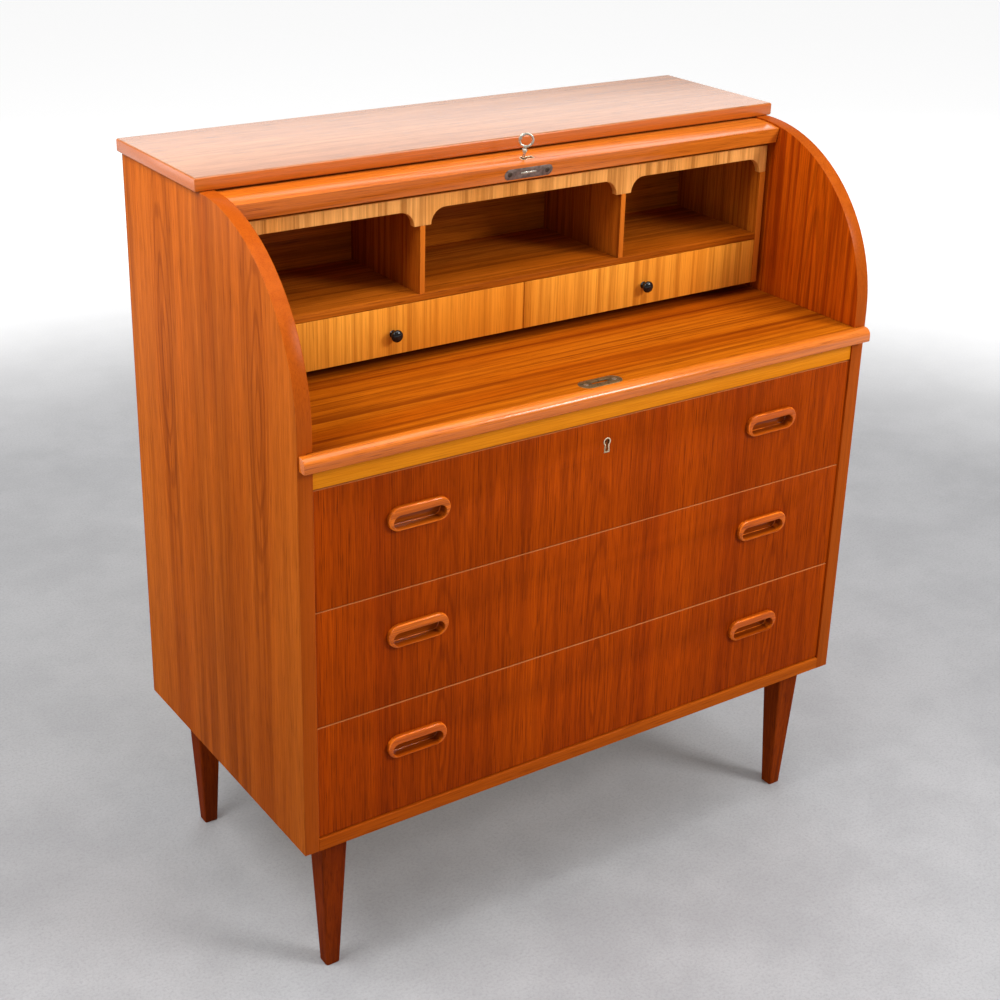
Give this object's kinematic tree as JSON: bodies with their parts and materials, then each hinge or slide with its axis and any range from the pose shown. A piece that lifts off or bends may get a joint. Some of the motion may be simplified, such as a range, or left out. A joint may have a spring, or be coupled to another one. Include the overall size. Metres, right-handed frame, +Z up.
{
  "type": "roll-front secretary desk",
  "caption": "Free-standing desk with a turning roll front over pigeonholes, a sliding writing board, small and large drawers, recessed pulls and tapered legs.",
  "frame": {"origin": "on the floor, under the middle of the desk's overall box", "axes": "+Z up, +X to the right of a person facing the desk, -Y towards that person"},
  "size_m": [0.892, 0.472, 1.0229],
  "materials": {
    "teak_veneer": "oiled teak veneer, satin",
    "teak_solid": "solid teak, satin",
    "teak_inner": "teak veneer inside the pigeonholes, matt",
    "ribbon_veneer": "striped ribbon-figured veneer, satin",
    "amber_wood": "pale lacquered hardwood",
    "beech": "pale hardwood, unfinished",
    "plywood": "thin plywood, unfinished",
    "black_lacquer": "glossy black lacquer",
    "brass": "tarnished brass",
    "dark_steel": "dulled brown-grey steel",
    "bright_steel": "nickel-plated steel"
  },
  "bodies": {
    "case": {"back_panel": "plywood", "back_rail": "beech", "board_rail": "amber_wood", "bottom_panel": "plywood", "bottom_rail": "teak_solid", "drawer_runners": "beech", "leg_back_left": "teak_solid", "leg_back_right": "teak_solid", "leg_front_left": "teak_solid", "leg_front_right": "teak_solid", "leg_plates": "bright_steel", "roll_pivot_pins": "bright_steel", "roll_stops": "beech", "side_left": "teak_veneer", "side_right": "teak_veneer", "top_panel": "teak_veneer", "unit_apron": "ribbon_veneer", "unit_back": "teak_inner", "unit_base": "teak_inner", "unit_bearers": "beech", "unit_cover": "teak_inner", "unit_dividers": "teak_inner", "unit_partition": "teak_inner", "unit_shelf": "teak_inner", "unit_side_left": "teak_inner", "unit_side_right": "teak_inner"},
    "roll": {"roll_shell": "teak_solid", "roll_rail": "teak_solid", "roll_cheeks": "plywood", "lock_case": "bright_steel", "lock_plate": "dark_steel", "escutcheon": "brass"},
    "lock_bolt": {"lock_bolt": "bright_steel"},
    "key": {"key": "bright_steel"},
    "board": {"writing_board": "teak_veneer", "board_moulding": "teak_solid", "strike_plate": "brass"},
    "top_drawer": {"top_drawer_front": "teak_veneer", "top_drawer_tray": "beech", "top_drawer_bottom": "plywood", "top_drawer_pulls": "teak_solid", "drawer_lock": "bright_steel", "keyhole_insert": "brass"},
    "drawer_bolt": {"drawer_bolt": "bright_steel"},
    "middle_drawer": {"middle_drawer_front": "teak_veneer", "middle_drawer_tray": "beech", "middle_drawer_bottom": "plywood", "middle_drawer_pulls": "teak_solid"},
    "bottom_drawer": {"bottom_drawer_front": "teak_veneer", "bottom_drawer_tray": "beech", "bottom_drawer_bottom": "plywood", "bottom_drawer_pulls": "teak_solid"},
    "small_drawer_left": {"small_drawer_left_bottom": "plywood", "small_drawer_left_front": "ribbon_veneer", "small_drawer_left_knob": "black_lacquer", "small_drawer_left_tray": "beech"},
    "small_drawer_right": {"small_drawer_right_bottom": "plywood", "small_drawer_right_front": "ribbon_veneer", "small_drawer_right_knob": "black_lacquer", "small_drawer_right_tray": "beech"}
  },
  "joints": [
    {"name": "roll_turn", "type": "hinge", "parent": "case", "child": "roll", "pos_m": [0, 0.003, 0.767], "axis": [1, 0, 0], "range_deg": [0, 83.6]},
    {"name": "board_slide", "type": "slide", "parent": "case", "child": "board", "axis": [0, -1, 0], "range_m": [0, 0.2]},
    {"name": "top_drawer_slide", "type": "slide", "parent": "case", "child": "top_drawer", "axis": [0, -1, 0], "range_m": [0, 0.3]},
    {"name": "middle_drawer_slide", "type": "slide", "parent": "case", "child": "middle_drawer", "axis": [0, -1, 0], "range_m": [0, 0.3]},
    {"name": "bottom_drawer_slide", "type": "slide", "parent": "case", "child": "bottom_drawer", "axis": [0, -1, 0], "range_m": [0, 0.3]},
    {"name": "small_drawer_left_slide", "type": "slide", "parent": "case", "child": "small_drawer_left", "axis": [0, -1, 0], "range_m": [0, 0.12]},
    {"name": "small_drawer_right_slide", "type": "slide", "parent": "case", "child": "small_drawer_right", "axis": [0, -1, 0], "range_m": [0, 0.12]},
    {"name": "key_turn", "type": "hinge", "parent": "roll", "child": "key", "pos_m": [-0.005, -0.02294, 0.97737], "axis": [0, -0.2062, 0.9785], "range_deg": [-90, 0]},
    {"name": "bolt_throw", "type": "slide", "parent": "roll", "child": "lock_bolt", "axis": [0, -0.9785, -0.2062], "range_m": [0, 0.009]},
    {"name": "drawer_bolt_throw", "type": "slide", "parent": "top_drawer", "child": "drawer_bolt", "axis": [0, 0, 1], "range_m": [0, 0.008]}
  ],
  "couplings": [
    {"joint": "bolt_throw", "follows": "key_turn", "m_per_rad": -0.0057296}
  ]
}
